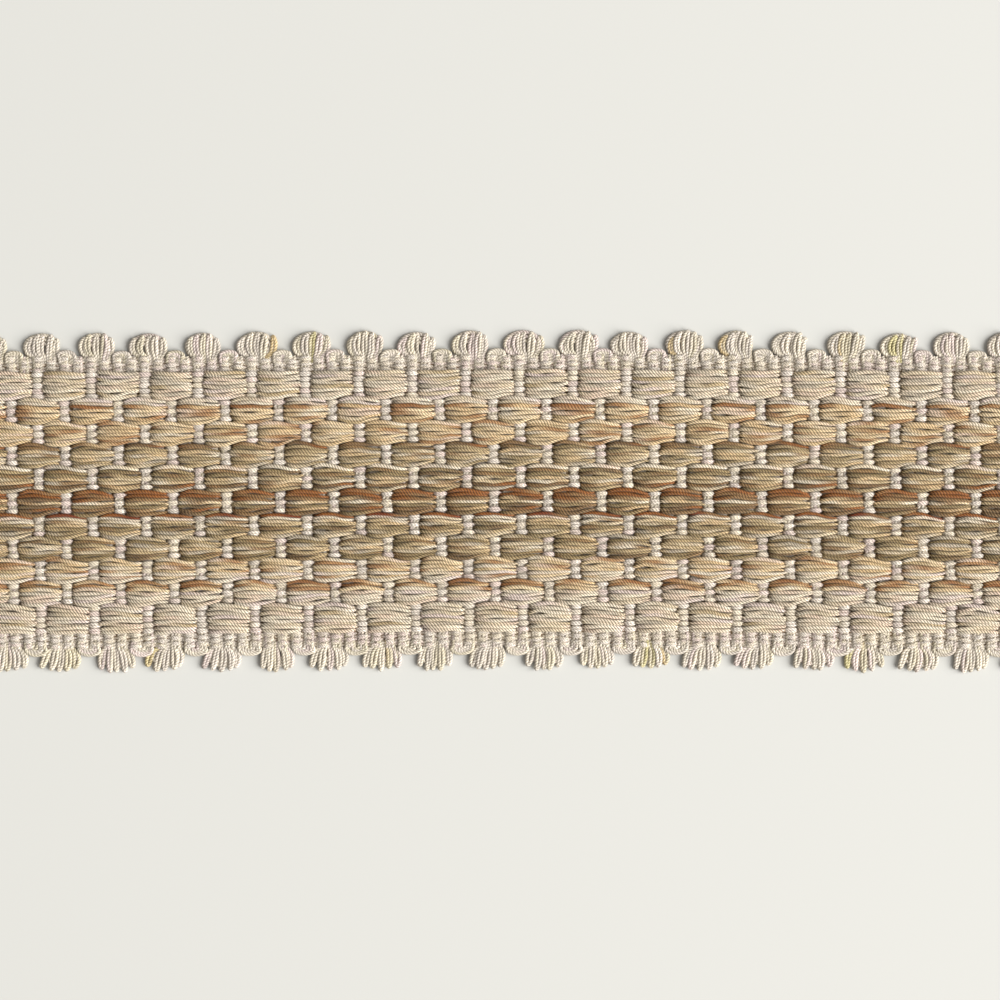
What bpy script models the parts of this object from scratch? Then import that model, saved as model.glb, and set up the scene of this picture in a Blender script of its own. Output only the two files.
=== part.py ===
# A cut length of woven braid trim, lying flat with its face up.
# Thick groups of warp cords run along the braid and float over three weft
# columns at a time, like bricks in a wall. The weft turns back in picot loops
# at both edges. X runs along the braid, Y across it and Z out of its face.
# The origin is under the middle of the whole part.

import math

import bmesh
import bpy

MM = 0.001

# Driving dimensions. A repeat is four weft columns long.
REPEAT = 12.0 * MM
REPEATS = 20
NARROW_ROW = 5.1 * MM
WIDE_ROW = 6.2 * MM
NARROW_ROWS = 9
SELVEDGE = 3.2 * MM
UPPER_PICOT = 6.2 * MM
LOWER_PICOT = 5.3 * MM
WOVEN_TOP = 2.2 * MM
FLOAT_TOP = 3.0 * MM
RIB_TOP = 1.9 * MM
RIB_DEPTH = 0.3 * MM
PIECE_GAP = 0.3 * MM

# Sizes that follow from them.
LENGTH = REPEAT * REPEATS
WEFT_COLUMN = REPEAT / 4
BAND = NARROW_ROW * NARROW_ROWS + WIDE_ROW * 2
OVERALL = BAND + SELVEDGE * 2 + UPPER_PICOT + LOWER_PICOT
BAND_UPPER = OVERALL / 2 - UPPER_PICOT - SELVEDGE
BAND_LOWER = BAND_UPPER - BAND

# The first bare weft column of the wide rows lies this far from the left cut,
# so that the scissors pass between two picots at either end.
FIRST_COLUMN = 3.3 * MM
BRICK_SHIFT = REPEAT / 2

# A float, measured from its middle. It is widest and highest there, where the
# rows beside it show their bare weft, and dips to its ends.
FLOAT_HALF_LENGTH = 4.6 * MM
SHOULDER_HALF_LENGTH = 3.7 * MM
MIDDLE_SPREAD = 0.15 * MM
END_DRAW_IN = 0.35 * MM
SHOULDER_INSET = 0.75 * MM
SHOULDER_DROP = 0.25 * MM
FLOAT_SUNK = 0.7 * MM

# A picot is a rainbow of loops that joins two weft columns.
LOOPS = 3
LOOP_THICK = 0.9 * MM
UPPER_HALF_WIDTH = 4.3 * MM
LOWER_HALF_WIDTH = 3.8 * MM
INNER_HALF_WIDTH = 0.85 * MM
ROOT_SPACING = 1.1 * MM
LOOP_STEPS = 6
LOOP_LEVEL = 1.0 * MM
LOOP_DROOP = 0.4 * MM
INNER_LIFT = 0.1 * MM
ROOT_DEPTH = 0.8 * MM
UPPER_PICOT_SHIFT = WEFT_COLUMN / 2
LOWER_PICOT_SHIFT = WEFT_COLUMN * 3 / 2

# Between two picots the weft turns straight back in a short, tight arch.
TURN_REACH = 1.0 * MM
TURN_HALF_WIDTH = 1.5 * MM
TURN_STEPS = 3

ECRU = (0.66, 0.60, 0.49, 1.0)
TAN = (0.42, 0.33, 0.21, 1.0)
CORD_ROUGHNESS = 0.75


def clear_scene():
    for item in list(bpy.data.objects):
        bpy.data.objects.remove(item)


def new_collection(name):
    made = bpy.data.collections.new(name)
    bpy.context.scene.collection.children.link(made)
    return made


def cloth_material(name, colour):
    made = bpy.data.materials.new(name)
    made.use_nodes = True
    shader = made.node_tree.nodes["Principled BSDF"]
    shader.inputs["Base Color"].default_value = colour
    shader.inputs["Roughness"].default_value = CORD_ROUGHNESS
    shader.inputs["Metallic"].default_value = 0.0
    return made


def mesh_object(name, shape, collection):
    """Makes an object of a bmesh and frees it."""
    bmesh.ops.recalc_face_normals(shape, faces=shape.faces)
    mesh = bpy.data.meshes.new(name)
    shape.to_mesh(mesh)
    shape.free()
    made = bpy.data.objects.new(name, mesh)
    collection.objects.link(made)
    return made


def block(name, low, high, collection):
    """A rectangular block between two corners."""
    shape = bmesh.new()
    bmesh.ops.create_cube(shape, size=1.0)
    for point in shape.verts:
        for axis in range(3):
            share = point.co[axis] + 0.5
            point.co[axis] = low[axis] + share * (high[axis] - low[axis])
    return mesh_object(name, shape, collection)


def helper(item):
    item.hide_render = True
    item.display_type = "WIRE"
    return item


def boolean(item, operation, other):
    step = item.modifiers.new(other.name, "BOOLEAN")
    step.operation = operation
    step.object = other
    step.solver = "EXACT"


def row_table():
    """Each row's middle, width and shift along the braid, from the upper edge down."""
    widths = [WIDE_ROW] + [NARROW_ROW] * NARROW_ROWS + [WIDE_ROW]
    rows = []
    edge = BAND_UPPER
    for number, width in enumerate(widths):
        shift = BRICK_SHIFT if number % 2 else 0.0
        rows.append({"middle": edge - width / 2, "width": width, "shift": shift})
        edge -= width
    return rows


def float_mesh(width):
    """One float of cords: a cube cut across its middle, drawn in at its ends and crowned."""
    shape = bmesh.new()
    bmesh.ops.create_cube(shape, size=2.0)
    everything = [*shape.verts, *shape.edges, *shape.faces]
    bmesh.ops.bisect_plane(shape, geom=everything, plane_co=(0, 0, 0), plane_no=(1, 0, 0))
    for point in shape.verts:
        along, across, up = point.co
        at_middle = abs(along) < 0.5
        half_width = width / 2 + (MIDDLE_SPREAD if at_middle else -END_DRAW_IN)
        half_length = FLOAT_HALF_LENGTH
        height = WOVEN_TOP - FLOAT_SUNK
        if up > 0:
            half_width -= SHOULDER_INSET
            half_length = SHOULDER_HALF_LENGTH
            height = FLOAT_TOP - (0.0 if at_middle else SHOULDER_DROP)
        point.co = (along * half_length, across * half_width, height)
    mesh = bpy.data.meshes.new("float")
    shape.to_mesh(mesh)
    shape.free()
    return mesh


def floats(collection):
    """Every float on the braid's face, past both ends, before the length is cut."""
    shape = bmesh.new()
    meshes = {width: float_mesh(width) for width in (NARROW_ROW, WIDE_ROW)}
    for row in row_table():
        for number in range(-1, REPEATS + 1):
            column = -LENGTH / 2 + FIRST_COLUMN + row["shift"] + number * REPEAT
            middle = column + REPEAT / 2
            if abs(middle) - FLOAT_HALF_LENGTH < LENGTH / 2:
                first = len(shape.verts)
                shape.from_mesh(meshes[row["width"]])
                shape.verts.ensure_lookup_table()
                place = (middle, row["middle"], 0.0)
                bmesh.ops.translate(shape, vec=place, verts=shape.verts[first:])
    return helper(mesh_object("float_shapes", shape, collection))


def woven_band(parts, helpers):
    overshoot = REPEAT
    reach = LENGTH / 2 + overshoot
    band = block(
        "woven_band", (-reach, BAND_LOWER, 0.0), (reach, BAND_UPPER, WOVEN_TOP), parts
    )
    boolean(band, "UNION", floats(helpers))
    for side in (-1, 1):
        near, far = side * LENGTH / 2, side * (reach + overshoot)
        low = (min(near, far), BAND_LOWER - overshoot, -overshoot)
        high = (max(near, far), BAND_UPPER + overshoot, overshoot)
        scissors = block(f"cut_{'left' if side < 0 else 'right'}", low, high, helpers)
        boolean(band, "DIFFERENCE", helper(scissors))
    return band


def selvedge_strip(name, inner, outer, collection):
    """A strip of plain weave, ribbed where each weft column crosses it."""
    shape = bmesh.new()
    columns = REPEATS * 4
    outline = [(-LENGTH / 2, 0.0), (LENGTH / 2, 0.0)]
    for number in range(columns * 2, -1, -1):
        place = -LENGTH / 2 + FIRST_COLUMN + (number / 2 - 1.5) * WEFT_COLUMN
        if abs(place) < LENGTH / 2:
            outline.append((place, RIB_TOP - (0.0 if number % 2 else RIB_DEPTH)))
    outline.insert(2, (LENGTH / 2, RIB_TOP - RIB_DEPTH / 2))
    outline.append((-LENGTH / 2, RIB_TOP - RIB_DEPTH / 2))
    corners = [shape.verts.new((x, inner, z)) for x, z in outline]
    side = shape.faces.new(corners)
    pushed = bmesh.ops.extrude_face_region(shape, geom=[side])
    moved = [item for item in pushed["geom"] if isinstance(item, bmesh.types.BMVert)]
    bmesh.ops.translate(shape, vec=(0.0, outer - inner, 0.0), verts=moved)
    return mesh_object(name, shape, collection)


def strand_section(collection):
    """The three-sided section that every loop is swept with, its flat side down."""
    curve = bpy.data.curves.new("strand_section", "CURVE")
    curve.dimensions = "2D"
    spline = curve.splines.new("POLY")
    spline.points.add(2)
    for number, point in enumerate(spline.points):
        turn = math.radians(90 + 120 * number)
        radius = LOOP_THICK / math.sqrt(3)
        point.co = (radius * math.cos(turn), radius * math.sin(turn), 0.0, 1.0)
    spline.use_cyclic_u = True
    made = bpy.data.objects.new("strand_section", curve)
    collection.objects.link(made)
    return helper(made)


def loop_route(middle, edge, outward, root_half, reach, half_width, lift):
    """A loop's points: a leg out of the selvedge, an arch and a leg back into it."""
    level = LOOP_LEVEL + lift
    inside = edge - outward * ROOT_DEPTH
    centre = edge + outward * max(reach - half_width, 0.0)
    tall = min(half_width, reach)
    route = [(middle - root_half, inside, level)]
    for number in range(LOOP_STEPS - 1):
        turn = math.pi * (1.0 - number / (LOOP_STEPS - 2))
        along = half_width * math.cos(turn)
        out = (centre - edge) * outward + tall * math.sin(turn)
        droop = LOOP_DROOP * out / UPPER_PICOT
        route.append((middle + along, edge + outward * out, level - droop))
    route.append((middle + root_half, inside, level))
    return route


def turn_route(middle, edge, outward):
    """The short arch where the weft turns straight back between two picots."""
    route = [(middle - TURN_HALF_WIDTH, edge - outward * ROOT_DEPTH, LOOP_LEVEL)]
    for number in range(1, TURN_STEPS):
        turn = math.pi * (1.0 - number / TURN_STEPS)
        along = TURN_HALF_WIDTH * math.cos(turn)
        out = (TURN_REACH + ROOT_DEPTH) * math.sin(turn) - ROOT_DEPTH
        route.append((middle + along, edge + outward * out, LOOP_LEVEL))
    route.append((middle + TURN_HALF_WIDTH, edge - outward * ROOT_DEPTH, LOOP_LEVEL))
    return route


def loops_object(name, routes, section, collection):
    """All the loops of one edge as a mesh of closed tubes."""
    curve = bpy.data.curves.new(name, "CURVE")
    curve.dimensions = "3D"
    curve.twist_mode = "Z_UP"
    curve.bevel_mode = "OBJECT"
    curve.bevel_object = section
    curve.use_fill_caps = True
    for route in routes:
        spline = curve.splines.new("POLY")
        spline.points.add(len(route) - 1)
        for point, place in zip(spline.points, route):
            point.co = (*place, 1.0)
    swept = bpy.data.objects.new(name, curve)
    collection.objects.link(swept)
    bpy.context.view_layer.update()
    graph = bpy.context.evaluated_depsgraph_get()
    mesh = bpy.data.meshes.new_from_object(swept.evaluated_get(graph))
    bpy.data.objects.remove(swept)
    shape = bmesh.new()
    shape.from_mesh(mesh)
    bmesh.ops.remove_doubles(shape, verts=shape.verts, dist=0.001 * MM)
    return helper(mesh_object(name, shape, collection))


def picot_routes(outer, outward, reach, widest, shift):
    """The routes of every loop and short turn along one edge."""
    routes = []
    outermost = widest - LOOP_THICK / 2
    spacing = (outermost - INNER_HALF_WIDTH) / (LOOPS - 1)
    for repeat in range(REPEATS):
        middle = -LENGTH / 2 + FIRST_COLUMN + repeat * REPEAT + shift
        for loop in range(LOOPS):
            inward = LOOPS - 1 - loop
            root = ROOT_SPACING * (loop + 0.5)
            half = outermost - spacing * inward
            out = reach - LOOP_THICK / 2 - spacing * inward
            lift = INNER_LIFT * inward
            routes.append(loop_route(middle, outer, outward, root, out, half, lift))
        turn = middle + REPEAT / 2
        if turn + TURN_HALF_WIDTH + LOOP_THICK < LENGTH / 2:
            routes.append(turn_route(turn, outer, outward))
    return routes


def picot_edge(name, outward, section, parts, helpers):
    """A ribbed selvedge strip with its picots and short turns fused to it."""
    clear = MIDDLE_SPREAD + PIECE_GAP
    if outward > 0:
        inner, outer = BAND_UPPER + clear, BAND_UPPER + SELVEDGE
        reach, widest, shift = UPPER_PICOT, UPPER_HALF_WIDTH, UPPER_PICOT_SHIFT
    else:
        inner, outer = BAND_LOWER - clear, BAND_LOWER - SELVEDGE
        reach, widest, shift = LOWER_PICOT, LOWER_HALF_WIDTH, LOWER_PICOT_SHIFT
    strip = selvedge_strip(name, inner, outer, parts)
    routes = picot_routes(outer, outward, reach, widest, shift)
    boolean(strip, "UNION", loops_object(f"{name}_loops", routes, section, helpers))
    return strip


def main():
    clear_scene()
    parts = new_collection("braid_trim")
    helpers = new_collection("cutters_and_guides")
    section = strand_section(helpers)
    band = woven_band(parts, helpers)
    band.data.materials.append(cloth_material("tan_warp_cords", TAN))
    ecru = cloth_material("ecru_weft_cords", ECRU)
    for name, outward in (("upper_picot_edge", 1), ("lower_picot_edge", -1)):
        edge = picot_edge(name, outward, section, parts, helpers)
        edge.data.materials.append(ecru)


main()
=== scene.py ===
# %% [markdown]
# A corded braid trim with picot edges
#
# This lesson dresses a cut length of woven braid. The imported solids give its
# size: a ribbed band of warp floats between two edges of loops. Here each cord
# of the weave is made as a tube on its own way over and under the others, so
# that the light finds the same hollows as on the real braid.

import math

import bpy
import numpy as np
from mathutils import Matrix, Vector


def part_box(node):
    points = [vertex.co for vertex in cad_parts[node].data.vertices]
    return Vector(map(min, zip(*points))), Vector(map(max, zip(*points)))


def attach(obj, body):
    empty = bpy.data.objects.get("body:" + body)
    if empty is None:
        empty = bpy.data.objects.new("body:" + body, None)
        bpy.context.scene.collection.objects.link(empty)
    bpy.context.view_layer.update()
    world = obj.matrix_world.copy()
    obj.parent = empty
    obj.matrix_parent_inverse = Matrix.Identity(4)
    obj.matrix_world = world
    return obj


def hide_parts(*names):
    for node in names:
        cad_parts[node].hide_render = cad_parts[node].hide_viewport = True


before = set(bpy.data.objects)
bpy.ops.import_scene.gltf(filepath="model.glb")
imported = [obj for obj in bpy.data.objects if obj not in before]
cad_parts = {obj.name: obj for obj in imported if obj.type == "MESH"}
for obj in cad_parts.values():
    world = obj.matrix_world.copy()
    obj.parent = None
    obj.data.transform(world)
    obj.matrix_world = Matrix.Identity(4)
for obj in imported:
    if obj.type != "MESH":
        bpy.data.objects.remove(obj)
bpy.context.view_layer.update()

# %% [markdown]
# Sizes
#
# Everything hangs on a few numbers. The repeat is four weft columns long. The
# rows aren't equally wide on the real braid, so a short table says how wide
# each one is, and it is fitted to the band's own solid. The weft columns lean a
# little, and the whole braid lies slightly bowed.

# %% Sizes of the weave
MM = 0.001
REPEAT = 12.0 * MM
COLUMNS_IN_REPEAT = 4
COLUMN = REPEAT / COLUMNS_IN_REPEAT
FIRST_COLUMN = 3.3 * MM
FLOAT_SPREAD_IN_SOLID = 0.15 * MM
UPPER_ALLOWANCE = 0.35 * MM
BOW = 0.5 * MM
BOW_MIDDLE = 12.0 * MM
ROW_WIDTHS = (6.15, 5.37, 4.81, 4.92, 5.48, 5.37, 5.03, 4.92, 5.03, 5.14, 6.38)
SELVEDGE = 3.2 * MM
SELVEDGE_WARPS = 5
SLANT = 0.0157

band_low, band_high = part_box("woven_band")
upper_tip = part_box("upper_picot_edge")[1].y
lower_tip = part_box("lower_picot_edge")[0].y
LENGTH = band_high.x - band_low.x
BAND_UPPER = band_high.y - FLOAT_SPREAD_IN_SOLID + UPPER_ALLOWANCE
BAND_LOWER = band_low.y + FLOAT_SPREAD_IN_SOLID
UPPER_EDGE = BAND_UPPER + SELVEDGE
LOWER_EDGE = BAND_LOWER - SELVEDGE
UPPER_REACH = upper_tip - UPPER_EDGE
LOWER_REACH = LOWER_EDGE - lower_tip
FLOAT_TOP = band_high.z
FIRST_GAP = band_low.x + FIRST_COLUMN
ROWS = len(ROW_WIDTHS)
REPEATS = round(LENGTH / REPEAT)


def row_edges():
    """The edges between rows, from the upper selvedge down."""
    fit = (BAND_UPPER - BAND_LOWER) / sum(ROW_WIDTHS)
    edges = [BAND_UPPER]
    for width in ROW_WIDTHS:
        edges.append(edges[-1] - width * fit)
    return edges


EDGES = row_edges()
print(f"band {1000 * (BAND_UPPER - BAND_LOWER):.1f} mm wide, {REPEATS} repeats,",
      f"picots reach {1000 * UPPER_REACH:.1f} and {1000 * LOWER_REACH:.1f} mm")

# %% [markdown]
# Seeded unevenness
#
# A hand- or loom-made braid never repeats exactly. A sum of a few sine waves
# with seeded lengths gives a smooth drift, which is the same on every run.
# It is cheaper than a noise texture and works on whole arrays of places. Each
# kind of draw counts on from a seed of its own.


# %% Drift and smooth steps
DRIFT_WAVES = 4
SEEDS = {
    "row edge": 100,
    "row widths": 300,
    "warp": 1000,
    "warp height": 5000,
    "warp dive": 7000,
    "weft": 4000,
    "weft dye": 7000,
    "binding end": 50000,
    "selvedge height": 0,
    "selvedge line": 9000,
    "selvedge dye": 9100,
    "picot": 20000,
    "hoop": 20,
    "short turn": 30000,
    "lower edge": 5000,
}


def drift(seed, size, shortest, longest):
    """Returns a smooth random function of a place, mostly within plus or minus size."""
    draw = np.random.default_rng(seed)
    waves = draw.uniform(shortest, longest, DRIFT_WAVES)
    starts = draw.uniform(0.0, math.tau, DRIFT_WAVES)

    def at(place):
        total = sum(np.sin(math.tau * place / wave + start) for wave, start in zip(waves, starts))
        return size * total / math.sqrt(DRIFT_WAVES)

    return at


def bow(x):
    """The braid lies a little bowed: its middle is further up than its ends."""
    return BOW * np.cos(math.pi * (x - BOW_MIDDLE) / LENGTH) ** 2


def smooth_step(share):
    """Eases a share from 0 to 1, and holds it there on both sides."""
    share = np.clip(share, 0.0, 1.0)
    return share * share * (3.0 - 2.0 * share)


print(f"bow: {1000 * bow(-LENGTH / 2):.2f} mm at the left end,",
      f"{1000 * bow(0.0):.2f} mm in the middle")

# %% [markdown]
# Dyes
#
# The warp cords are space-dyed: along one cord the colour changes every half
# centimetre or so. Each family below is the run of dyes that such a cord goes
# through. The colours are given as display colours, and Blender wants them
# linear, so they are converted once. The weft and the fine binding cords change
# far more slowly, and only between shades of ecru.

# %% Dye families
DYES = {
    "cream": (0.96, 0.91, 0.82),
    "beige": (0.94, 0.87, 0.77),
    "sand": (0.92, 0.85, 0.73),
    "blush": (0.94, 0.85, 0.76),
    "lilac": (0.93, 0.86, 0.82),
    "peach": (0.96, 0.87, 0.72),
    "tan": (0.90, 0.79, 0.62),
    "amber": (0.73, 0.55, 0.37),
    "orange": (0.67, 0.46, 0.28),
    "rust": (0.66, 0.43, 0.23),
    "brick": (0.56, 0.29, 0.17),
    "brown": (0.67, 0.54, 0.38),
    "umber": (0.55, 0.45, 0.33),
    "khaki": (0.82, 0.73, 0.57),
    "olive": (0.66, 0.58, 0.43),
    "lime": (0.84, 0.80, 0.62),
    "mist": (0.82, 0.77, 0.69),
    "ecru": (0.87, 0.83, 0.76),
    "oyster": (0.85, 0.81, 0.76),
    "linen": (0.84, 0.80, 0.71),
    "pearl": (0.86, 0.80, 0.77),
    "chalk": (0.95, 0.91, 0.86),
    "milk": (0.94, 0.89, 0.81),
}

FAMILIES = {
    "pale": ("cream", "beige", "cream", "sand", "blush", "cream", "lilac", "beige"),
    "sand": ("sand", "khaki", "cream", "beige", "mist", "sand", "blush"),
    "peach": ("peach", "tan", "cream", "peach", "blush", "amber", "peach"),
    "tan": ("tan", "khaki", "peach", "tan", "amber", "sand"),
    "amber": ("amber", "tan", "orange", "brown", "amber", "peach"),
    "rust": ("rust", "orange", "brown", "amber", "rust", "orange"),
    "brick": ("brick", "rust", "orange", "brick", "brown", "rust"),
    "brown": ("brown", "umber", "brown", "tan", "umber", "rust"),
    "olive": ("olive", "umber", "khaki", "olive", "brown", "olive"),
    "khaki": ("khaki", "sand", "olive", "khaki", "tan", "mist"),
    "umber": ("umber", "brown", "umber", "olive", "brown"),
    "streak": ("cream", "tan", "khaki", "cream", "brown", "peach", "khaki"),
    "thread": ("cream", "beige", "cream", "blush", "mist", "cream", "sand"),
    "weft": ("ecru", "oyster", "ecru", "linen", "pearl", "ecru", "oyster"),
    "binding": ("chalk", "milk", "lilac", "chalk", "cream"),
    "moss": ("linen", "lime", "khaki", "linen"),
}

DYE_CONTRAST = 0.85
STAGE_DRIFT = (0.35, 14 * MM, 40 * MM)
FADING_DRIFT = (0.09, 2.5 * MM, 12 * MM)
BLEND_STEEPNESS = 1.6
BLEND_DELAY = 0.3
CORD_LIGHTNESS = (0.92, 1.04)


def linear(colour):
    """A display colour as linear light."""
    colour = np.asarray(colour, float)
    return np.where(colour <= 0.04045, colour / 12.92, ((colour + 0.055) / 1.055) ** 2.4)


def dyed(family, seed, place, stage_length):
    """The colour at each place along a cord, from its family's run of dyes."""
    run = np.array([linear(DYES[name]) for name in FAMILIES[family]])
    run = run.mean(0) + (run - run.mean(0)) * DYE_CONTRAST
    draw = np.random.default_rng(seed)
    stages = place / stage_length + draw.uniform(0.0, len(run))
    stages = stages + drift(seed + 1, *STAGE_DRIFT)(place)
    first = np.floor(stages).astype(int)
    share = smooth_step((stages - first) * BLEND_STEEPNESS - BLEND_DELAY)[:, None]
    mixed = run[first % len(run)] * (1.0 - share) + run[(first + 1) % len(run)] * share
    fading = 1.0 + drift(seed + 2, *FADING_DRIFT)(place)
    return mixed * draw.uniform(*CORD_LIGHTNESS) * fading[:, None]


print(len(DYES), "dyes in", len(FAMILIES), "families")

# %% [markdown]
# The cord itself
#
# Every cord here is three thin plies twisted together. Modelling the plies
# would cost millions of faces, so the tube stays round and its material draws
# them. That needs to know how far along the cord and how far round it each
# point is. A bevelled curve gives both: when it becomes a mesh, its points lie
# ring after ring and its UV map runs round each ring. The length along is then
# written over the other coordinate in millimetres. Each cord starts at its own
# place and is stretched a little, so that the plies of two neighbours never
# line up.

# %% A helper that winds cords along routes
LAY_STRETCH = (0.92, 1.08)
LAY_SHIFT = (0.0, 9.0 * MM)


def select_only(item):
    bpy.ops.object.select_all(action="DESELECT")
    item.select_set(True)
    bpy.context.view_layer.objects.active = item


def route(points, radii, colours):
    """One cord: its points in metres, and the radius and colour at each of them."""
    points = np.array(points, float)
    points[:, 1] += bow(points[:, 0])
    steps = np.linalg.norm(np.diff(points, axis=0), axis=1)
    along = np.concatenate([[0.0], np.cumsum(steps)])
    return {"points": points, "radii": radii, "colours": colours, "along": along}


def wind(name, routes, roundness, material, nodes):
    """Makes all the routes as closed round tubes in one mesh piece."""
    curve = bpy.data.curves.new(name, "CURVE")
    curve.dimensions = "3D"
    curve.bevel_depth = 1.0
    curve.bevel_resolution = roundness
    curve.twist_mode = "Z_UP"
    for cord in routes:
        count = len(cord["points"])
        spline = curve.splines.new("POLY")
        spline.points.add(count - 1)
        spline.points.foreach_set("co", np.c_[cord["points"], np.ones(count)].ravel())
        spline.points.foreach_set("radius", np.asarray(cord["radii"], float))
    piece = bpy.data.objects.new(name, curve)
    bpy.context.scene.collection.objects.link(piece)
    select_only(piece)
    bpy.ops.object.convert(target="MESH")
    close_ends(piece)
    sides = 4 + 2 * roundness
    write_cord_facts(piece, routes, sides)
    piece.data.materials.clear()
    piece.data.materials.append(material)
    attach(piece, "root")
    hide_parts(*nodes)
    triangles = sum(len(face.vertices) - 2 for face in piece.data.polygons)
    print(f"{name}: {len(routes)} cords, {triangles} triangles")
    return piece


def close_ends(piece):
    """Closes the open ends of every tube with a flat face, and shades the rest smooth."""
    bpy.ops.object.mode_set(mode="EDIT")
    bpy.ops.mesh.select_all(action="SELECT")
    bpy.ops.mesh.fill_holes(sides=0)
    bpy.ops.object.mode_set(mode="OBJECT")
    on_tube = [len(face.vertices) <= 4 for face in piece.data.polygons]
    piece.data.polygons.foreach_set("use_smooth", on_tube)


def write_cord_facts(piece, routes, sides):
    """Writes the length along into the UV map, and the dye into a colour attribute."""
    mesh = piece.data
    draw = np.random.default_rng(len(routes))
    along = np.concatenate(
        [cord["along"] * draw.uniform(*LAY_STRETCH) + draw.uniform(*LAY_SHIFT) for cord in routes]
    )
    colours = np.concatenate([cord["colours"] for cord in routes])
    corners = np.empty(len(mesh.loops), int)
    mesh.loops.foreach_get("vertex_index", corners)
    uv_map = mesh.uv_layers[0]
    uv = np.empty(len(mesh.loops) * 2)
    uv_map.uv.foreach_get("vector", uv)
    uv = uv.reshape(-1, 2)
    uv[:, 0] = along[corners // sides] / MM
    uv_map.uv.foreach_set("vector", uv.ravel())
    dye = mesh.color_attributes.new(name="dye", type="FLOAT_COLOR", domain="POINT")
    rings = np.repeat(np.c_[colours, np.ones(len(colours))], sides, axis=0)
    dye.data.foreach_set("color", rings.ravel())


# %% [markdown]
# The twist as a node group
#
# Warp, weft and binding are the same kind of yarn, so one shader node group
# draws the plies for all. It takes the UV map, counts the plies along and round
# the cord, and puts out a height for the bump, a mask for the grooves between
# the plies, a tone that tells one ply from the next, and a fine fibre pattern
# that runs with them. Taking the way round from the way along is what makes the
# lines slant. Lengths are in millimetres here, as in the UV map.

# %% Build the plied yarn group
PLY_SPACING = 0.68
PLIES = 3.0
GROOVE_SHARPNESS = 1.5
FIBRES_ACROSS_PLY = 5.0
FIBRES_ALONG = 1.3
FIBRE_DETAIL = 2.0


def link_math(tree, operation, first, second=None, third=None):
    """Adds a Math node and wires or sets its inputs."""
    node = tree.nodes.new("ShaderNodeMath")
    node.operation = operation
    for socket, value in zip(node.inputs, (first, second, third)):
        if isinstance(value, (int, float)):
            socket.default_value = value
        elif value is not None:
            tree.links.new(value, socket)
    return node.outputs[0]


def plied_yarn_group():
    """The node group that draws twisted plies on a round cord."""
    tree = bpy.data.node_groups.new("plied_yarn", "ShaderNodeTree")
    face = tree.interface
    face.new_socket("UV", in_out="INPUT", socket_type="NodeSocketVector")
    for name, value in (("Ply spacing", PLY_SPACING), ("Plies", PLIES)):
        socket = face.new_socket(name, in_out="INPUT", socket_type="NodeSocketFloat")
        socket.default_value = value
    for name in ("Height", "Groove", "Ply tone", "Fibre"):
        face.new_socket(name, in_out="OUTPUT", socket_type="NodeSocketFloat")
    source = tree.nodes.new("NodeGroupInput")
    result = tree.nodes.new("NodeGroupOutput")
    split = tree.nodes.new("ShaderNodeSeparateXYZ")
    tree.links.new(source.outputs["UV"], split.inputs[0])
    along, around = split.outputs["X"], split.outputs["Y"]
    steps = link_math(tree, "DIVIDE", along, source.outputs["Ply spacing"])
    turns = link_math(tree, "MULTIPLY", around, source.outputs["Plies"])
    count = link_math(tree, "SUBTRACT", steps, turns)
    part = link_math(tree, "FRACT", count)
    side = link_math(tree, "ABSOLUTE", link_math(tree, "MULTIPLY_ADD", part, 2.0, -1.0))
    square = link_math(tree, "MULTIPLY", side, side)
    height = link_math(tree, "SQRT", link_math(tree, "SUBTRACT", 1.0, square))
    groove = link_math(tree, "POWER", side, GROOVE_SHARPNESS)
    slow = link_math(tree, "DIVIDE", count, source.outputs["Plies"])
    tone = link_math(tree, "SINE", link_math(tree, "MULTIPLY", slow, math.tau))
    fibre = tree.nodes.new("ShaderNodeTexNoise")
    fibre.inputs["Scale"].default_value = 1.0
    fibre.inputs["Detail"].default_value = FIBRE_DETAIL
    place = tree.nodes.new("ShaderNodeCombineXYZ")
    tree.links.new(link_math(tree, "MULTIPLY", part, FIBRES_ACROSS_PLY), place.inputs["X"])
    tree.links.new(link_math(tree, "MULTIPLY", along, FIBRES_ALONG), place.inputs["Y"])
    tree.links.new(place.outputs[0], fibre.inputs["Vector"])
    tree.links.new(height, result.inputs["Height"])
    tree.links.new(groove, result.inputs["Groove"])
    tree.links.new(tone, result.inputs["Ply tone"])
    tree.links.new(fibre.outputs["Fac"], result.inputs["Fibre"])
    return tree


PLIED_YARN = plied_yarn_group()
print("node group:", PLIED_YARN.name, len(PLIED_YARN.nodes), "nodes")

# %% [markdown]
# Cord materials
#
# The dye attribute gives the colour. Painted shade darkens it in the grooves
# between the plies, where light hardly reaches, and a painted deepening of its
# hue stands for the light that comes out of them after meeting the dye more than
# once. One ply in three is a little lighter than the others. Viscose and
# mercerised cotton shine softly, so the roughness is middling and a thin sheen
# stands for the surface fibres. The warp has the darkest painted groove shade
# and the highest plies, and the weft the lightest shade and the lowest plies.

# %% Build the cord materials
PAINTED_BOUNCE_DEEPENING = 0.6
SPECULAR = 0.2
SHEEN = 0.05
SHEEN_ROUGHNESS = 0.5
PLY_TONE_SIZE = 0.07
PLY_TONE_MIDDLE = 0.97
FIBRE_SHADE_SIZE = 0.5
FIBRE_SHADE_DARKEST = 0.75
FIBRE_RELIEF = 0.25


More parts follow.
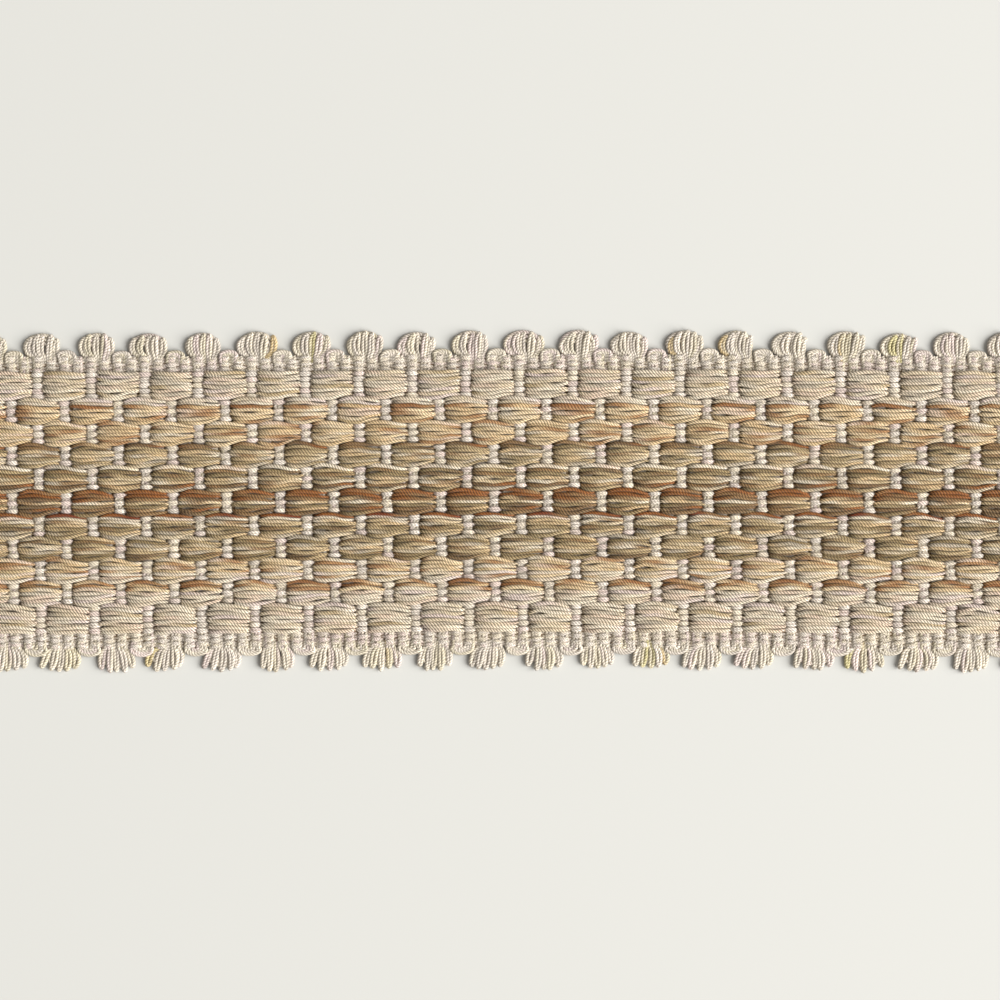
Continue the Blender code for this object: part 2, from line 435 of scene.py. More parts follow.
def cord_material(name, roughness, groove_shade_amount, bump_height):
    """A dyed cord, with how dark the painted shade in its grooves gets and how high its plies
    stand.
    """
    material = bpy.data.materials.new(name)
    material.use_nodes = True
    tree = material.node_tree
    shader = tree.nodes["Principled BSDF"]
    shader.inputs["Roughness"].default_value = roughness
    shader.inputs["Specular IOR Level"].default_value = SPECULAR
    shader.inputs["Sheen Weight"].default_value = SHEEN
    shader.inputs["Sheen Roughness"].default_value = SHEEN_ROUGHNESS
    yarn = tree.nodes.new("ShaderNodeGroup")
    yarn.node_tree = PLIED_YARN
    uv = tree.nodes.new("ShaderNodeUVMap")
    uv.uv_map = "UVMap"
    tree.links.new(uv.outputs["UV"], yarn.inputs["UV"])
    dye = tree.nodes.new("ShaderNodeAttribute")
    dye.attribute_name = "dye"
    # painted shade: the base colour is darkened in the grooves between the plies
    shade = link_math(tree, "MULTIPLY_ADD", yarn.outputs["Groove"], -groove_shade_amount, 1.0)
    ply, fibres = yarn.outputs["Ply tone"], yarn.outputs["Fibre"]
    tone = link_math(tree, "MULTIPLY_ADD", ply, PLY_TONE_SIZE, PLY_TONE_MIDDLE)
    fibre = link_math(tree, "MULTIPLY_ADD", fibres, FIBRE_SHADE_SIZE, FIBRE_SHADE_DARKEST)
    light = link_math(tree, "MULTIPLY", link_math(tree, "MULTIPLY", shade, tone), fibre)
    # painted bounce light: the dye's hue is deepened in the grooves
    deep = tree.nodes.new("ShaderNodeGamma")
    tree.links.new(dye.outputs["Color"], deep.inputs["Color"])
    gamma = link_math(tree, "MULTIPLY_ADD", yarn.outputs["Groove"], PAINTED_BOUNCE_DEEPENING, 1.0)
    tree.links.new(gamma, deep.inputs["Gamma"])
    colour = tree.nodes.new("ShaderNodeVectorMath")
    colour.operation = "SCALE"
    tree.links.new(deep.outputs["Color"], colour.inputs["Vector"])
    tree.links.new(light, colour.inputs["Scale"])
    tree.links.new(colour.outputs["Vector"], shader.inputs["Base Color"])
    bump = tree.nodes.new("ShaderNodeBump")
    bump.inputs["Strength"].default_value = 1.0
    bump.inputs["Distance"].default_value = bump_height
    relief = link_math(tree, "MULTIPLY_ADD", fibres, FIBRE_RELIEF, yarn.outputs["Height"])
    tree.links.new(relief, bump.inputs["Height"])
    tree.links.new(bump.outputs["Normal"], shader.inputs["Normal"])
    return material


WARP_YARN = cord_material("space_dyed_warp", 0.50, 0.88, 0.24 * MM)
WEFT_YARN = cord_material("ecru_weft", 0.55, 0.36, 0.15 * MM)
BINDING_YARN = cord_material("pale_binding", 0.55, 0.60, 0.18 * MM)
print("materials:", WARP_YARN.name, WEFT_YARN.name, BINDING_YARN.name)

# %% [markdown]
# Warp cords
#
# Each warp cord floats over three weft columns and dives under the fourth. All
# the cords of a row dive together, and the next row dives half a repeat
# later, so the floats lie like bricks. A float swells in its middle, where the
# rows beside it have dived, and is pinched at its ends. Two things follow from
# that: the edge between two rows is a wave, and a cord is fattest half way.

# %% Where rows dive and where their edges run
CROWN = 2.56 * MM
DOME_FALL = 0.75 * MM
ROW_ROUNDING = 0.26 * MM
WARP_UNDER = 0.42 * MM
DIVE_START = 0.74 * MM
DIVE_LENGTH = 0.85 * MM
TIP_LENGTH = 1.9 * MM
CORNER_ROUNDING = 0.42 * MM
CORD_STAGGER = 0.11 * MM
EDGE_WAVE = 0.43 * MM
OUTER_EDGE_WAVE = 0.08 * MM
EDGE_LAG = 1.5 * MM
WARP_FULLNESS = 0.56
FLOAT_END_NARROWING = 0.70
EDGE_DRIFT = (0.07 * MM, 9 * MM, 40 * MM)
HALF_STATIONS = np.array([0.75, 1.0, 1.2, 1.4, 1.65, 2.1, 3.6]) * MM
STATIONS = np.concatenate([-HALF_STATIONS[::-1], [0.0], HALF_STATIONS, [REPEAT / 2]])
SPARE_REPEATS = 2
CUT_MARGIN = 0.05 * MM


def first_gap(row, y):
    """The place of a row's first dive, leaning with the weft."""
    return FIRST_GAP + (REPEAT / 2 if row % 2 else 0.0) - SLANT * y


def from_gap(x, row, y):
    """How far each place is from the nearest dive of its row."""
    return np.abs((x - first_gap(row, y) + REPEAT / 2) % REPEAT - REPEAT / 2)


def edge_line(number, x):
    """The wavy edge above row `number`."""
    y = EDGES[number]
    size = EDGE_WAVE if 0 < number < ROWS else OUTER_EDGE_WAVE
    wave = size * np.cos(math.tau * (x - first_gap(number, y) + EDGE_LAG) / REPEAT)
    return y - wave + drift(SEEDS["row edge"] + number, *EDGE_DRIFT)(x)


print(len(STATIONS), "points on each warp cord in a repeat")


# %% [markdown]
# The chart below lists the cords of each row from the upper edge down, by
# family of dye. It is read off the braid as a maker reads a threading draft:
# pale rows outside, warm rows next, then olive and rust in the middle.

# %% The colour chart and the warp pieces
CHART = (
    "sand pale sand pale sand pale sand pale",
    "pale pale amber peach peach tan tan",
    "peach tan tan peach tan peach tan",
    "brown olive khaki streak khaki khaki khaki",
    "thread olive olive khaki streak brown khaki",
    "rust rust brown streak olive brown umber",
    "brick thread streak khaki olive khaki khaki",
    "khaki olive khaki streak khaki olive olive",
    "peach tan peach tan pale peach pale",
    "amber amber peach pale pale pale pale",
    "pale pale sand pale pale sand pale pale",
)
DYE_STAGE = 6.0 * MM
THINNEST_WARP = 0.28 * MM
THICKEST_WARP = 0.47 * MM
WARP_WIDTHS = (0.86, 1.16)
WARP_LINE_DRIFT = (0.17 * MM, 5 * MM, 16 * MM)
WARP_HEIGHT_DRIFT = (0.10 * MM, 7 * MM, 25 * MM)
DIVE_DRIFT = (0.26 * MM, 3 * MM, 11 * MM)


def warp_places(row, y):
    """Places along the row where its cords need a point, cut at both ends."""
    gaps = first_gap(row, y) + REPEAT * np.arange(-SPARE_REPEATS, REPEATS + SPARE_REPEATS)
    x = (gaps[:, None] + STATIONS).ravel()
    end = LENGTH / 2
    x = x[np.abs(x) < end - CUT_MARGIN]
    return np.concatenate([[-end], x, [end]])


def warp_cord(row, cord, cords, starts, widths, family):
    """One cord on its way through a row, over three columns and under the fourth."""
    seed = SEEDS["warp"] + 20 * row + cord
    middle = (EDGES[row] + EDGES[row + 1]) / 2
    x = warp_places(row, middle)
    away = from_gap(x, row, middle)
    upper, lower = edge_line(row, x), edge_line(row + 1, x)
    spread = upper - lower
    y = upper - spread * (starts[cord] + widths[cord] / 2)
    y = y + drift(seed, *WARP_LINE_DRIFT)(x)
    radius = WARP_FULLNESS * spread * widths[cord]
    radius = np.clip(radius, THINNEST_WARP, THICKEST_WARP)
    across = (cord + 0.5) / cords * 2 - 1
    dome = CROWN - DOME_FALL * ((REPEAT / 2 - away) / (REPEAT / 2)) ** 2
    dome = dome - ROW_ROUNDING * across**2 + CORD_STAGGER * (-1) ** cord
    dome = dome + drift(seed + SEEDS["warp height"], *WARP_HEIGHT_DRIFT)(x)
    start = DIVE_START + CORNER_ROUNDING * across**2
    start = start + drift(seed + SEEDS["warp dive"], *DIVE_DRIFT)(x)
    rise = smooth_step((away - start) / DIVE_LENGTH)
    z = WARP_UNDER + (dome - WARP_UNDER) * rise
    full = smooth_step((away - start) / TIP_LENGTH)
    radius = radius * (FLOAT_END_NARROWING + (1.0 - FLOAT_END_NARROWING) * full)
    colours = dyed(family, seed, x, DYE_STAGE)
    return route(np.c_[x, y, z], radius, colours)


def warp_row(row):
    """All the cords of one row, each with a share of its width."""
    families = CHART[row].split()
    cords = len(families)
    draw = np.random.default_rng(SEEDS["row widths"] + row)
    widths = draw.uniform(*WARP_WIDTHS, cords)
    widths = widths / widths.sum()
    starts = np.concatenate([[0.0], np.cumsum(widths)[:-1]])
    routes = [
        warp_cord(row, cord, cords, starts, widths, family) for cord, family in enumerate(families)
    ]
    return wind(f"warp_row_{row + 1}", routes, 2, WARP_YARN, ["woven_band"])


for row in range(ROWS):
    warp_row(row)

# %% [markdown]
# Weft columns
#
# Six cords of pale weft lie in each column, three side by side and three below
# them. Where a row dives, the three upper ones rise in a bead, and under the
# floats they run flat. Only every second column surfaces in the band at all,
# so the others need few points. The lower three stay down and make the back.

# %% Weft columns
WEFT_OVER = 1.30 * MM
WEFT_UNDER = 1.0 * MM
WEFT_IN_SELVEDGE = 1.0 * MM
WEFT_RIPPLE = 0.15 * MM
WEFT_BACK = 0.46 * MM
WEFT_BACK_LIFT = 0.4 * MM
WEFT_RADIUS = 0.48 * MM
WEFT_SIDE_STEP = 0.66 * MM
BEAD_ROUNDING = 0.22 * MM
BEAD_RISE_SHARE = 0.22
SIDE_CORD_DROP = 0.06 * MM
WEFT_END = 0.3 * MM
WEFT_DRIFT = (0.08 * MM, 3 * MM, 12 * MM)
SELVEDGE_STEP = SELVEDGE / SELVEDGE_WARPS
BEAD_STATIONS = np.array([0.03, 0.15, 0.3, 0.5, 0.7, 0.85, 0.97])
FLAT_STATIONS = np.array([0.3, 0.7])
WEFT_STAGE = 17.0 * MM


def surfaces(row, column):
    """True where this column shows as a bead between the floats of this row."""
    shift = COLUMNS_IN_REPEAT // 2 if row % 2 else 0
    return (column - shift) % COLUMNS_IN_REPEAT == 0


def weft_places(column):
    """Places down the column: pairs of y and how far the weft has risen there."""
    y, rise = [], []
    for number in range(SELVEDGE_WARPS):
        y.append(UPPER_EDGE - SELVEDGE_STEP * (number + 0.5))
        rise.append(0.0)
    for row in range(ROWS):
        bead = surfaces(row, column)
        shares = BEAD_STATIONS if bead else FLAT_STATIONS
        for share in shares:
            y.append(EDGES[row] + (EDGES[row + 1] - EDGES[row]) * share)
            near = min(share, 1.0 - share)
            rise.append(float(smooth_step(near / BEAD_RISE_SHARE)) if bead else 0.0)
    for number in range(SELVEDGE_WARPS):
        y.append(LOWER_EDGE + SELVEDGE_STEP * (SELVEDGE_WARPS - number - 0.5))
        rise.append(0.0)
    return np.array(y), np.array(rise)


def row_share(y):
    """How far each place is from its row's middle: 0 in the middle and 1 at the edges."""
    edges = np.array(EDGES[::-1])
    number = np.clip(np.searchsorted(edges, y) - 1, 0, ROWS - 1)
    middle = (edges[number] + edges[number + 1]) / 2
    half = (edges[number + 1] - edges[number]) / 2
    return np.abs(y - middle) / half


def weft_cord(column, side, upper_layer):
    """One of a column's six cords: left, middle or right, in the upper or lower layer."""
    seed = SEEDS["weft"] + 10 * column + side + (5 if upper_layer else 0)
    y, rise = weft_places(column)
    in_band = (y < BAND_UPPER) & (y > BAND_LOWER)
    x = FIRST_GAP + COLUMN * column - SLANT * y + side * WEFT_SIDE_STEP
    x = x + drift(seed, *WEFT_DRIFT)(y)
    if upper_layer:
        bead = WEFT_OVER - BEAD_ROUNDING * row_share(y) ** 2 - SIDE_CORD_DROP * abs(side)
        z = WEFT_UNDER + (bead - WEFT_UNDER) * rise
        zigzag = np.where(np.arange(len(y)) % 2, 1.0, -1.0)
        ripple = WEFT_RIPPLE * zigzag * (1 if column % 2 else -1)
        z = np.where(in_band, z, WEFT_IN_SELVEDGE + ripple)
    else:
        z = WEFT_BACK + WEFT_BACK_LIFT * rise
    x, z = np.pad(x, 1, mode="edge"), np.pad(z, 1, mode="edge")
    y = np.concatenate([[UPPER_EDGE + WEFT_END], y, [LOWER_EDGE - WEFT_END]])
    colours = dyed("weft", SEEDS["weft dye"] + 2 * column + side, y, WEFT_STAGE)
    return route(np.c_[x, y, z], np.full(len(y), WEFT_RADIUS), colours)


def columns_on_part():
    """Every column whose three cords all lie inside the cut length."""
    room = LENGTH / 2 - WEFT_SIDE_STEP - WEFT_RADIUS - SLANT * UPPER_EDGE
    first = math.ceil((-room - FIRST_GAP) / COLUMN)
    last = math.floor((room - FIRST_GAP) / COLUMN)
    return range(first, last + 1)


def weft_piece(name, columns, upper_layer):
    routes = [weft_cord(column, side, upper_layer) for column in columns for side in (-1, 0, 1)]
    return wind(name, routes, 1, WEFT_YARN, ["woven_band"])


all_columns = columns_on_part()
weft_piece("weft_beads", [c for c in all_columns if c % 2 == 0], True)
weft_piece("weft_between_beads", [c for c in all_columns if c % 2], True)
weft_piece("weft_back", all_columns, False)

# %% [markdown]
# Binding ends over the beads
#
# The beads aren't smooth. Fine pale warp ends cross them in pairs and pull them
# into lobes, whose tips stick out a little over the floats beside them. Only
# these short stretches of the binding ends can be seen, so each is a short cord
# that comes up beside the bead, crosses it and goes down again.

# %% Binding ends
WIDE_ROW = 5.8 * MM
LOBES_IN_WIDE_ROW = 5
LOBES_IN_NARROW_ROW = 3
LOBE_PART = 0.27 * MM
LOBE_RADIUS = 0.34 * MM
LOBE_TOP = 1.96 * MM
LOBE_ACROSS = np.array([-1.55, -1.22, -0.7, 0.0, 0.7, 1.22, 1.55]) * MM
LOBE_WIDTHS = (0.92, 1.08)
LOBE_SHIFT = 0.06 * MM
LOBE_LIFT = 0.07 * MM
LOBE_STRAY = 0.05 * MM
LOBE_CLOSING = 0.8
LOBE_THINNING = 0.25
LOBE_FALL = np.array([1.20, 0.45, 0.10, 0.0, 0.10, 0.45, 1.20]) * MM


def lobe_cord(middle, y, side, seed):
    """One of the two fine cords that cross a bead side by side."""
    draw = np.random.default_rng(seed)
    wide = draw.uniform(*LOBE_WIDTHS)
    x = middle + LOBE_ACROSS * wide + draw.normal(0.0, LOBE_SHIFT)
    z = LOBE_TOP - LOBE_FALL + draw.normal(0.0, LOBE_LIFT)
    tip = (LOBE_ACROSS / LOBE_ACROSS[-1]) ** 2
    line = y + side * LOBE_PART * (1.0 - LOBE_CLOSING * tip) + draw.normal(0.0, LOBE_STRAY)
    colours = dyed("binding", seed // 2, x, WEFT_STAGE)
    return route(np.c_[x, line, z], LOBE_RADIUS * (1.0 - LOBE_THINNING * tip), colours)


def bead_lobes(row, column):
    """The pairs of fine cords that cross one bead, evenly spaced over its row."""
    upper, lower = EDGES[row], EDGES[row + 1]
    lobes = LOBES_IN_WIDE_ROW if upper - lower > WIDE_ROW else LOBES_IN_NARROW_ROW
    cords = []
    for number in range(lobes):
        y = upper - (upper - lower) * (number + 0.5) / lobes
        middle = FIRST_GAP + COLUMN * column - SLANT * y
        seed = SEEDS["binding end"] + 2000 * row + 20 * (column + 5) + 2 * number
        cords += [lobe_cord(middle, y, side, seed + (side > 0)) for side in (-1, 1)]
    return cords


def binding_ends():
    routes = []
    for row in range(ROWS):
        for column in all_columns:
            if surfaces(row, column):
                routes += bead_lobes(row, column)
    return wind("binding_ends", routes, 1, BINDING_YARN, ["woven_band"])


binding_ends()

# %% [markdown]
# Selvedge warps
#
# Along both edges, five fine double warps bind the weft in plain weave, over one
# column and under the next, each the other way round from its neighbour. Where
# a warp comes up, its two cords part and make a small lobe.

# %% Selvedge warps
SELVEDGE_OVER = 1.80 * MM
SELVEDGE_UNDER = 0.7 * MM
SELVEDGE_DIP = 0.75 * MM
SELVEDGE_RADIUS = 0.31 * MM
SELVEDGE_SPREAD = 0.25 * MM
SELVEDGE_LOBE = 0.30 * COLUMN
SELVEDGE_HEIGHTS = (-0.08 * MM, 0.12 * MM)
SELVEDGE_DRIFT = (0.10 * MM, 3 * MM, 12 * MM)
SELVEDGE_CUT_MARGIN = 0.1 * MM
SELVEDGE_CLOSED = 0.1
SELVEDGE_THINNEST = 0.75
SPARE_COLUMNS = 2


def selvedge_cord(number, y, side):
    """One of the two fine cords of a selvedge warp, which part where they come up."""
    end = LENGTH / 2
    columns = REPEATS * COLUMNS_IN_REPEAT
    column = np.arange(-SPARE_COLUMNS, columns + SPARE_COLUMNS)
    centre = FIRST_GAP + COLUMN * column - SLANT * y
    over = (column + number) % 2 == 0
    height = np.where(over, SELVEDGE_OVER, SELVEDGE_UNDER)
    draw = np.random.default_rng(SEEDS["selvedge height"] + number)
    height = height + draw.uniform(*SELVEDGE_HEIGHTS, len(column))
    x = np.stack([centre - SELVEDGE_LOBE, centre, centre + SELVEDGE_LOBE], axis=1).ravel()
    low = height - np.where(over, SELVEDGE_DIP, 0.0)
    z = np.stack([low, height, low], axis=1).ravel()
    inside = np.abs(x) < end - SELVEDGE_CUT_MARGIN
    x = np.concatenate([[-end], x[inside], [end]])
    z = np.pad(z[inside], 1, mode="edge")
    share = (z - SELVEDGE_UNDER) / (SELVEDGE_OVER - SELVEDGE_UNDER)
    line = y + drift(SEEDS["selvedge line"] + number, *SELVEDGE_DRIFT)(x)
    parting = SELVEDGE_CLOSED + (1.0 - SELVEDGE_CLOSED) * share
    line = line + side * SELVEDGE_SPREAD * parting
    radius = SELVEDGE_RADIUS * (SELVEDGE_THINNEST + (1.0 - SELVEDGE_THINNEST) * share)
    colours = dyed("binding", SEEDS["selvedge dye"] + 2 * number + side, x, WEFT_STAGE)
    return route(np.c_[x, line, z], radius, colours)


def selvedge(name, edge, inward, node, first):
    routes = []
    for number in range(SELVEDGE_WARPS):
        y = edge + inward * SELVEDGE_STEP * (number + 0.5)
        routes += [selvedge_cord(first + number, y, side) for side in (-1, 1)]
    return wind(name, routes, 1, BINDING_YARN, [node])


selvedge("upper_selvedge_warps", UPPER_EDGE, -1, "upper_picot_edge", 0)
selvedge("lower_selvedge_warps", LOWER_EDGE, 1, "lower_picot_edge", SELVEDGE_WARPS)

# %% [markdown]
# Picots and short turns
#
# At the edge the six cords of one column turn over into the next column. They
# do it in two ways, one after the other: in a tall bunch of loops, the picot,
# and in a short turn that hugs the edge. Five loops of a picot leave through a
# narrow root and stand on their sides, so from above each is a slim petal. They
# bulge on their way up as the lines on a globe do, the outer ones most. Three
# hoops lie flat behind them and round off the bunch. The petals of the lower
# edge stop where the globe is widest, so they fan out instead of closing. No two
# picots are quite alike.

# %% Loops of weft
LOOP_RADIUS = 0.47 * MM
PETAL_ROOT = 2.0 * MM
LOOP_STATIONS = 15
LOOP_SWELL = 1.27
PETALS = 5
PETAL_ROOT_GAP = 0.25 * MM
PETAL_HALF_WIDTH = 0.38 * MM
PETAL_LOW = 0.85 * MM
PETAL_HIGH = 1.0 * MM
PETAL_TIP = 0.62 * MM
PETAL_REACH = 0.98
OUTER_PETAL_DROP = 0.16
HOOP_ROOT = 2.45 * MM
HOOP_LEVEL = 0.45 * MM
HOOP_SCALES = (1.0, 0.82, 0.64)
MOSS_SHARE = 0.1
ARCHES = 4
ARCH_HEIGHT = 1.3 * MM
LEG_STATIONS = np.array([1.3, 0.5]) * MM
LOOP_DRIFT = (0.07 * MM, 3 * MM, 9 * MM)
LOOP_TRAVEL = 2.5


def arch(middle, edge, outward, root, half, reach, lean, curl, climb, heights, seed, family):
    """One loop: out through the root, round the arch and back in.

    `lean` is how far it bulges sideways, `curl` how far its tip hooks over, and
    `climb` how far up the globe it gets: at one half it ends at its widest.
    """
    root_z, crown_z = heights
    turn = np.linspace(0.0, math.pi, LOOP_STATIONS)
    up = np.sin(turn)
    narrow = 1.0 - (1.0 - root / (half * LOOP_SWELL)) * (1.0 - up) ** 2
    bulge = 2.0 * np.sqrt(climb * up * (1.0 - climb * up))
    x = -half * LOOP_SWELL * np.cos(turn) * narrow + lean * bulge + curl * up**3
    y = reach * up
    z = root_z + (crown_z - root_z) * up
    x = np.concatenate([[-root, -root], x, [root, root]])
    y = np.concatenate([-LEG_STATIONS, y, -LEG_STATIONS[::-1]])
    z = np.concatenate([[root_z, root_z], z, [root_z, root_z]])
    x = x + drift(seed, *LOOP_DRIFT)(y + x)
    along = np.linspace(0.0, LOOP_TRAVEL * reach, len(x))
    colours = dyed(family, seed, along, WEFT_STAGE)
    points = np.c_[middle + x - SLANT * edge, edge + outward * y, z]
    return route(points, np.full(len(x), LOOP_RADIUS), colours)


# %% A picot
LEAN_SPREAD = 0.35 * MM
CURL_SPREAD = 0.3 * MM
PICOT_HEIGHTS = (0.97, 1.07)
PICOT_WIDTHS = (0.90, 1.06)
PETAL_WIDTHS = (0.85, 1.5)
PETAL_SHORTENING = (0.0, 0.5 * MM)
PETAL_LIFTS = (-0.1 * MM, 0.1 * MM)
PETAL_STRAY = 0.22 * MM
TIP_LIFTS = (-0.12 * MM, 0.15 * MM)
TIP_STAGGER = 0.15 * MM


def picot(middle, edge, outward, size, seed):
    """Flat hoops with upright petals over them, all leaving through one root."""
    draw = np.random.default_rng(seed)
    lean = draw.normal(size["lean"], LEAN_SPREAD)
    curl = draw.normal(size["curl"], CURL_SPREAD)
    tall = (size["reach"] - LOOP_RADIUS) * draw.uniform(*PICOT_HEIGHTS)
    widest = (size["half_width"] - LOOP_RADIUS) * draw.uniform(*PICOT_WIDTHS)
    spread = (widest - PETAL_HALF_WIDTH) * size["openness"]
    routes = []
    for number, scale in enumerate(HOOP_SCALES):
        routes.append(
            arch(
                middle, edge, outward, HOOP_ROOT * scale, widest * scale,
                size["hoop"] * tall * scale, lean, 0.0, size["climb"],
                (PETAL_LOW, HOOP_LEVEL), seed + SEEDS["hoop"] + number, "weft",
            )
        )
    for loop in range(PETALS):
        share = 2.0 * loop / (PETALS - 1) - 1.0
        root = PETAL_ROOT * share
        petal_half = PETAL_HALF_WIDTH * draw.uniform(*PETAL_WIDTHS)
        tip = spread * share + lean + draw.normal(0.0, PETAL_STRAY)
        out = tall * (PETAL_REACH - OUTER_PETAL_DROP * share**2)
        out = out - draw.uniform(*PETAL_SHORTENING)
        heights = (
            (PETAL_HIGH if loop % 2 else PETAL_LOW) + draw.uniform(*PETAL_LIFTS),
            PETAL_TIP + (TIP_STAGGER if loop % 2 else 0.0) + draw.uniform(*TIP_LIFTS),
        )
        family = "moss" if draw.random() < MOSS_SHARE else "weft"
        routes.append(
            arch(
                middle + root, edge, outward, PETAL_ROOT_GAP, petal_half, out, tip - root,
                curl, size["climb"], heights, seed + loop, family,
            )
        )
    return routes


# %% A short turn
ARCH_STEP_DOWN = 0.1 * MM
ARCH_DROOP = 0.25 * MM
ARCH_STRAY = (-0.2 * MM, 0.1 * MM)
ARCH_LEAN = 0.2 * MM
ARCH_CLIMB = 0.5
ARCH_LEAST_REACH = 0.1


def short_turn(middle, edge, outward, size, seed):
    """Arches one inside the other, from the outermost in."""
    draw = np.random.default_rng(seed)
    routes = []
    for number in range(ARCHES):
        share = 1.0 - number / ARCHES
        half = size["half_width"] * share / LOOP_SWELL
        out = size["reach"] * (ARCH_LEAST_REACH + (1.0 - ARCH_LEAST_REACH) * share)
        out = out + draw.uniform(*ARCH_STRAY)
        lean = draw.normal(0.0, ARCH_LEAN)
        heights = (ARCH_HEIGHT - ARCH_STEP_DOWN * number, ARCH_HEIGHT - ARCH_DROOP)
        routes.append(
            arch(
                middle + size["shift"], edge, outward, half, half, out, lean, 0.0,
                ARCH_CLIMB, heights, seed + number, "weft",
            )
        )
    return routes


# %% Both edges
def edge_loops(name, edge, outward, picots, turns, node):
    """Every picot and short turn along one edge, where both its columns are on the part."""
    routes = []
    for repeat in range(REPEATS + 1):
        kinds = ((picot, picots, SEEDS["picot"]), (short_turn, turns, SEEDS["short turn"]))
        for make, size, seed in kinds:
            column = COLUMNS_IN_REPEAT * repeat + size["first_column"]
            middle = FIRST_GAP + COLUMN * (column + 0.5)
            if column in all_columns and column + 1 in all_columns:
                own_seed = seed + 50 * repeat + (0 if outward > 0 else SEEDS["lower edge"])
                routes += make(middle, edge, outward, size, own_seed)
    return wind(name, routes, 1, WEFT_YARN, [node])


UPPER_PICOTS = {
    "first_column": 0,
    "half_width": 4.4 * MM,
    "reach": UPPER_REACH,
    "lean": -0.5 * MM,
    "curl": 0.5 * MM,
    "climb": 0.86,
    "openness": 0.97,
    "hoop": 0.94,
}
UPPER_TURNS = {
    "first_column": 2,
    "half_width": 2.05 * MM,
    "reach": 1.3 * MM,
    "shift": -0.7 * MM,
}
LOWER_PICOTS = {
    "first_column": 1,
    "half_width": 4.1 * MM,
    "reach": LOWER_REACH + 0.6 * MM,
    "lean": 0.1 * MM,
    "curl": -0.5 * MM,
    "climb": 0.58,
    "openness": 1.08,
    "hoop": 0.72,
}
LOWER_TURNS = {
    "first_column": -1,
    "half_width": 2.7 * MM,
    "reach": 1.7 * MM,
    "shift": 0.0,
}
edge_loops("upper_picots", UPPER_EDGE, 1, UPPER_PICOTS, UPPER_TURNS, "upper_picot_edge")
edge_loops("lower_picots", LOWER_EDGE, -1, LOWER_PICOTS, LOWER_TURNS, "lower_picot_edge")

# %% [markdown]
# The woven ground, in painted shade
#
# Deep between the cords no light gets through. A thin sheet in the middle of
# the weave stands for the crossings of warp and weft there, and it has the
# braid's flat size. Its dark brown is painted shade, as deep shade between the
# cords looks.

# %% The ground sheet
GROUND_HEIGHT = 0.85 * MM
GROUND_THICKNESS = 0.2 * MM
GROUND_INSET = 0.6 * MM
GROUND_WAVE = 0.05 * MM
GROUND_CELLS = (160, 44)
# painted shade: the two browns of the ground sheet
GROUND_SHADE_DARK = (0.36, 0.29, 0.21)
GROUND_SHADE_LIGHT = (0.56, 0.47, 0.36)
GROUND_ROUGHNESS = 0.9
GROUND_GRAIN = 900.0


def painted_shade_material():
    """Painted shade: a dull brown with a fine grain, as deep shade between dyed cords looks."""
    material = bpy.data.materials.new("painted_shade_ground")
    material.use_nodes = True
    tree = material.node_tree
    shader = tree.nodes["Principled BSDF"]
    shader.inputs["Roughness"].default_value = GROUND_ROUGHNESS
    place = tree.nodes.new("ShaderNodeTexCoord")
    noise = tree.nodes.new("ShaderNodeTexNoise")
    noise.inputs["Scale"].default_value = GROUND_GRAIN
    ramp = tree.nodes.new("ShaderNodeValToRGB")
    ramp.color_ramp.elements[0].color = (*linear(GROUND_SHADE_DARK), 1.0)
    ramp.color_ramp.elements[1].color = (*linear(GROUND_SHADE_LIGHT), 1.0)
    tree.links.new(place.outputs["Object"], noise.inputs["Vector"])
    tree.links.new(noise.outputs["Fac"], ramp.inputs["Fac"])
    tree.links.new(ramp.outputs["Color"], shader.inputs["Base Color"])
    return material


def weave_core_and_painted_shade():
    """The sheet, rippled once for every two weft columns and given its thickness."""
    width = LENGTH - 2 * GROUND_INSET
    depth = UPPER_EDGE - LOWER_EDGE - 2 * GROUND_INSET
    middle = (UPPER_EDGE + LOWER_EDGE) / 2
    bpy.ops.object.select_all(action="DESELECT")
    along, across = GROUND_CELLS
    bpy.ops.mesh.primitive_grid_add(
        x_subdivisions=along, y_subdivisions=across, size=1.0, location=(0.0, 0.0, 0.0)
    )
    piece = bpy.context.object
    piece.name = "weave_core_and_painted_shade"
    for point in piece.data.vertices:
        x, y = point.co.x * width, point.co.y * depth + middle
        ripple = math.cos(math.tau * x / REPEAT * 2) * math.cos(math.tau * y / REPEAT)
        point.co = (x, y + bow(x), GROUND_HEIGHT + GROUND_WAVE * ripple)
    solid = piece.modifiers.new("thickness", "SOLIDIFY")
    solid.thickness = GROUND_THICKNESS
    solid.offset = 0.0
    bpy.ops.object.modifier_apply(modifier=solid.name)
    # painted shade: the sheet is coloured dark brown, as the shade deep between the cords
    piece.data.materials.append(painted_shade_material())
    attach(piece, "root")
    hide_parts("woven_band")
    print(f"ground {1000 * width:.0f} x {1000 * depth:.1f} mm")
    return piece


weave_core_and_painted_shade()

# %% [markdown]
# Floor, light and camera
#
# The braid lies on a pale matt table. One large soft lamp stands low on the
# right, which is what draws the floats' rounded ends and throws the picots'
# shadows to the left, and the pale room fills in the rest. The camera looks
# straight down from well above, so that the braid shows no perspective.

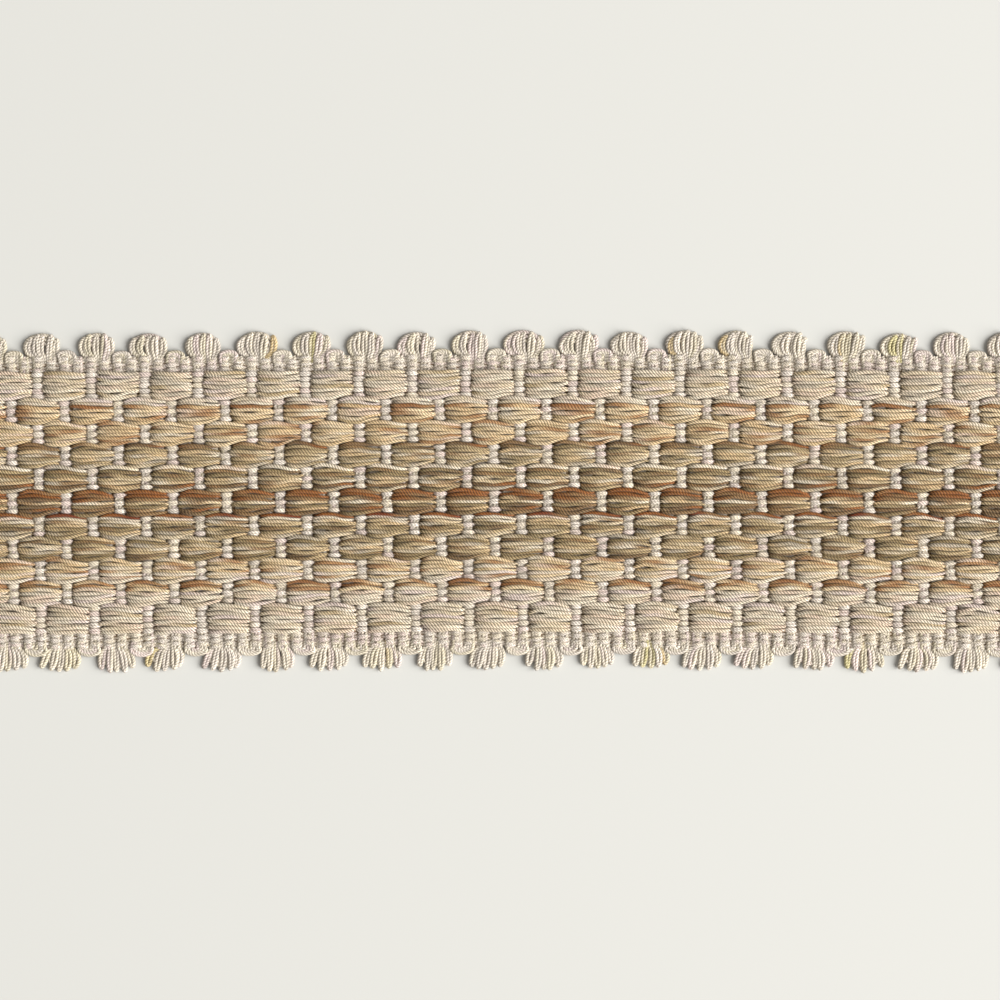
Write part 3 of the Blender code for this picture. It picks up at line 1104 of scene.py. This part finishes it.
# %% Stage, light and camera
FLOOR_SIZE = 3.0
FLOOR_COLOUR = (0.757, 0.753, 0.731)
FLOOR_ROUGHNESS = 0.85
LAMP_PLACE = (3.91, -0.85, 2.55)
LAMP_SIZE = 5.1
LAMP_POWER = 618.0
ROOM_COLOUR = (1.0, 0.985, 0.96)
ROOM_STRENGTH = 0.385
VIEW_WIDTH = 223.67 * MM
VIEW_MIDDLE = (-1.4 * MM, 0.38 * MM)
LENS = 100.0
SENSOR = 36.0
NEAREST_SEEN = 0.01


def plain_floor():
    bpy.ops.object.select_all(action="DESELECT")
    bpy.ops.mesh.primitive_plane_add(size=FLOOR_SIZE, location=(0.0, 0.0, 0.0))
    floor = bpy.context.object
    floor.name = "floor"
    material = bpy.data.materials.new("pale_floor")
    material.use_nodes = True
    shader = material.node_tree.nodes["Principled BSDF"]
    shader.inputs["Base Color"].default_value = (*linear(FLOOR_COLOUR), 1.0)
    shader.inputs["Roughness"].default_value = FLOOR_ROUGHNESS
    floor.data.materials.append(material)


def soft_lamp(name, place, size, power):
    """A round lamp that points at the middle of the braid."""
    data = bpy.data.lights.new(name, "AREA")
    data.shape = "DISK"
    data.size = size
    data.energy = power
    lamp = bpy.data.objects.new(name, data)
    bpy.context.scene.collection.objects.link(lamp)
    lamp.location = place
    aim = -lamp.location.normalized()
    lamp.rotation_euler = aim.to_track_quat("-Z", "Y").to_euler()


def pale_room(strength):
    world = bpy.data.worlds.new("pale_room")
    world.use_nodes = True
    background = world.node_tree.nodes["Background"]
    background.inputs["Color"].default_value = (*ROOM_COLOUR, 1.0)
    background.inputs["Strength"].default_value = strength
    bpy.context.scene.world = world


def camera_above():
    data = bpy.data.cameras.new("camera")
    data.lens = LENS
    data.sensor_width = SENSOR
    data.clip_start = NEAREST_SEEN
    camera = bpy.data.objects.new("camera", data)
    bpy.context.scene.collection.objects.link(camera)
    height = VIEW_WIDTH * LENS / SENSOR + FLOAT_TOP
    camera.location = (*VIEW_MIDDLE, height)
    bpy.context.scene.camera = camera
    print(f"camera {height:.3f} m up")


plain_floor()
soft_lamp("window", LAMP_PLACE, LAMP_SIZE, LAMP_POWER)
pale_room(ROOM_STRENGTH)
camera_above()
bpy.context.scene.view_settings.view_transform = "Standard"
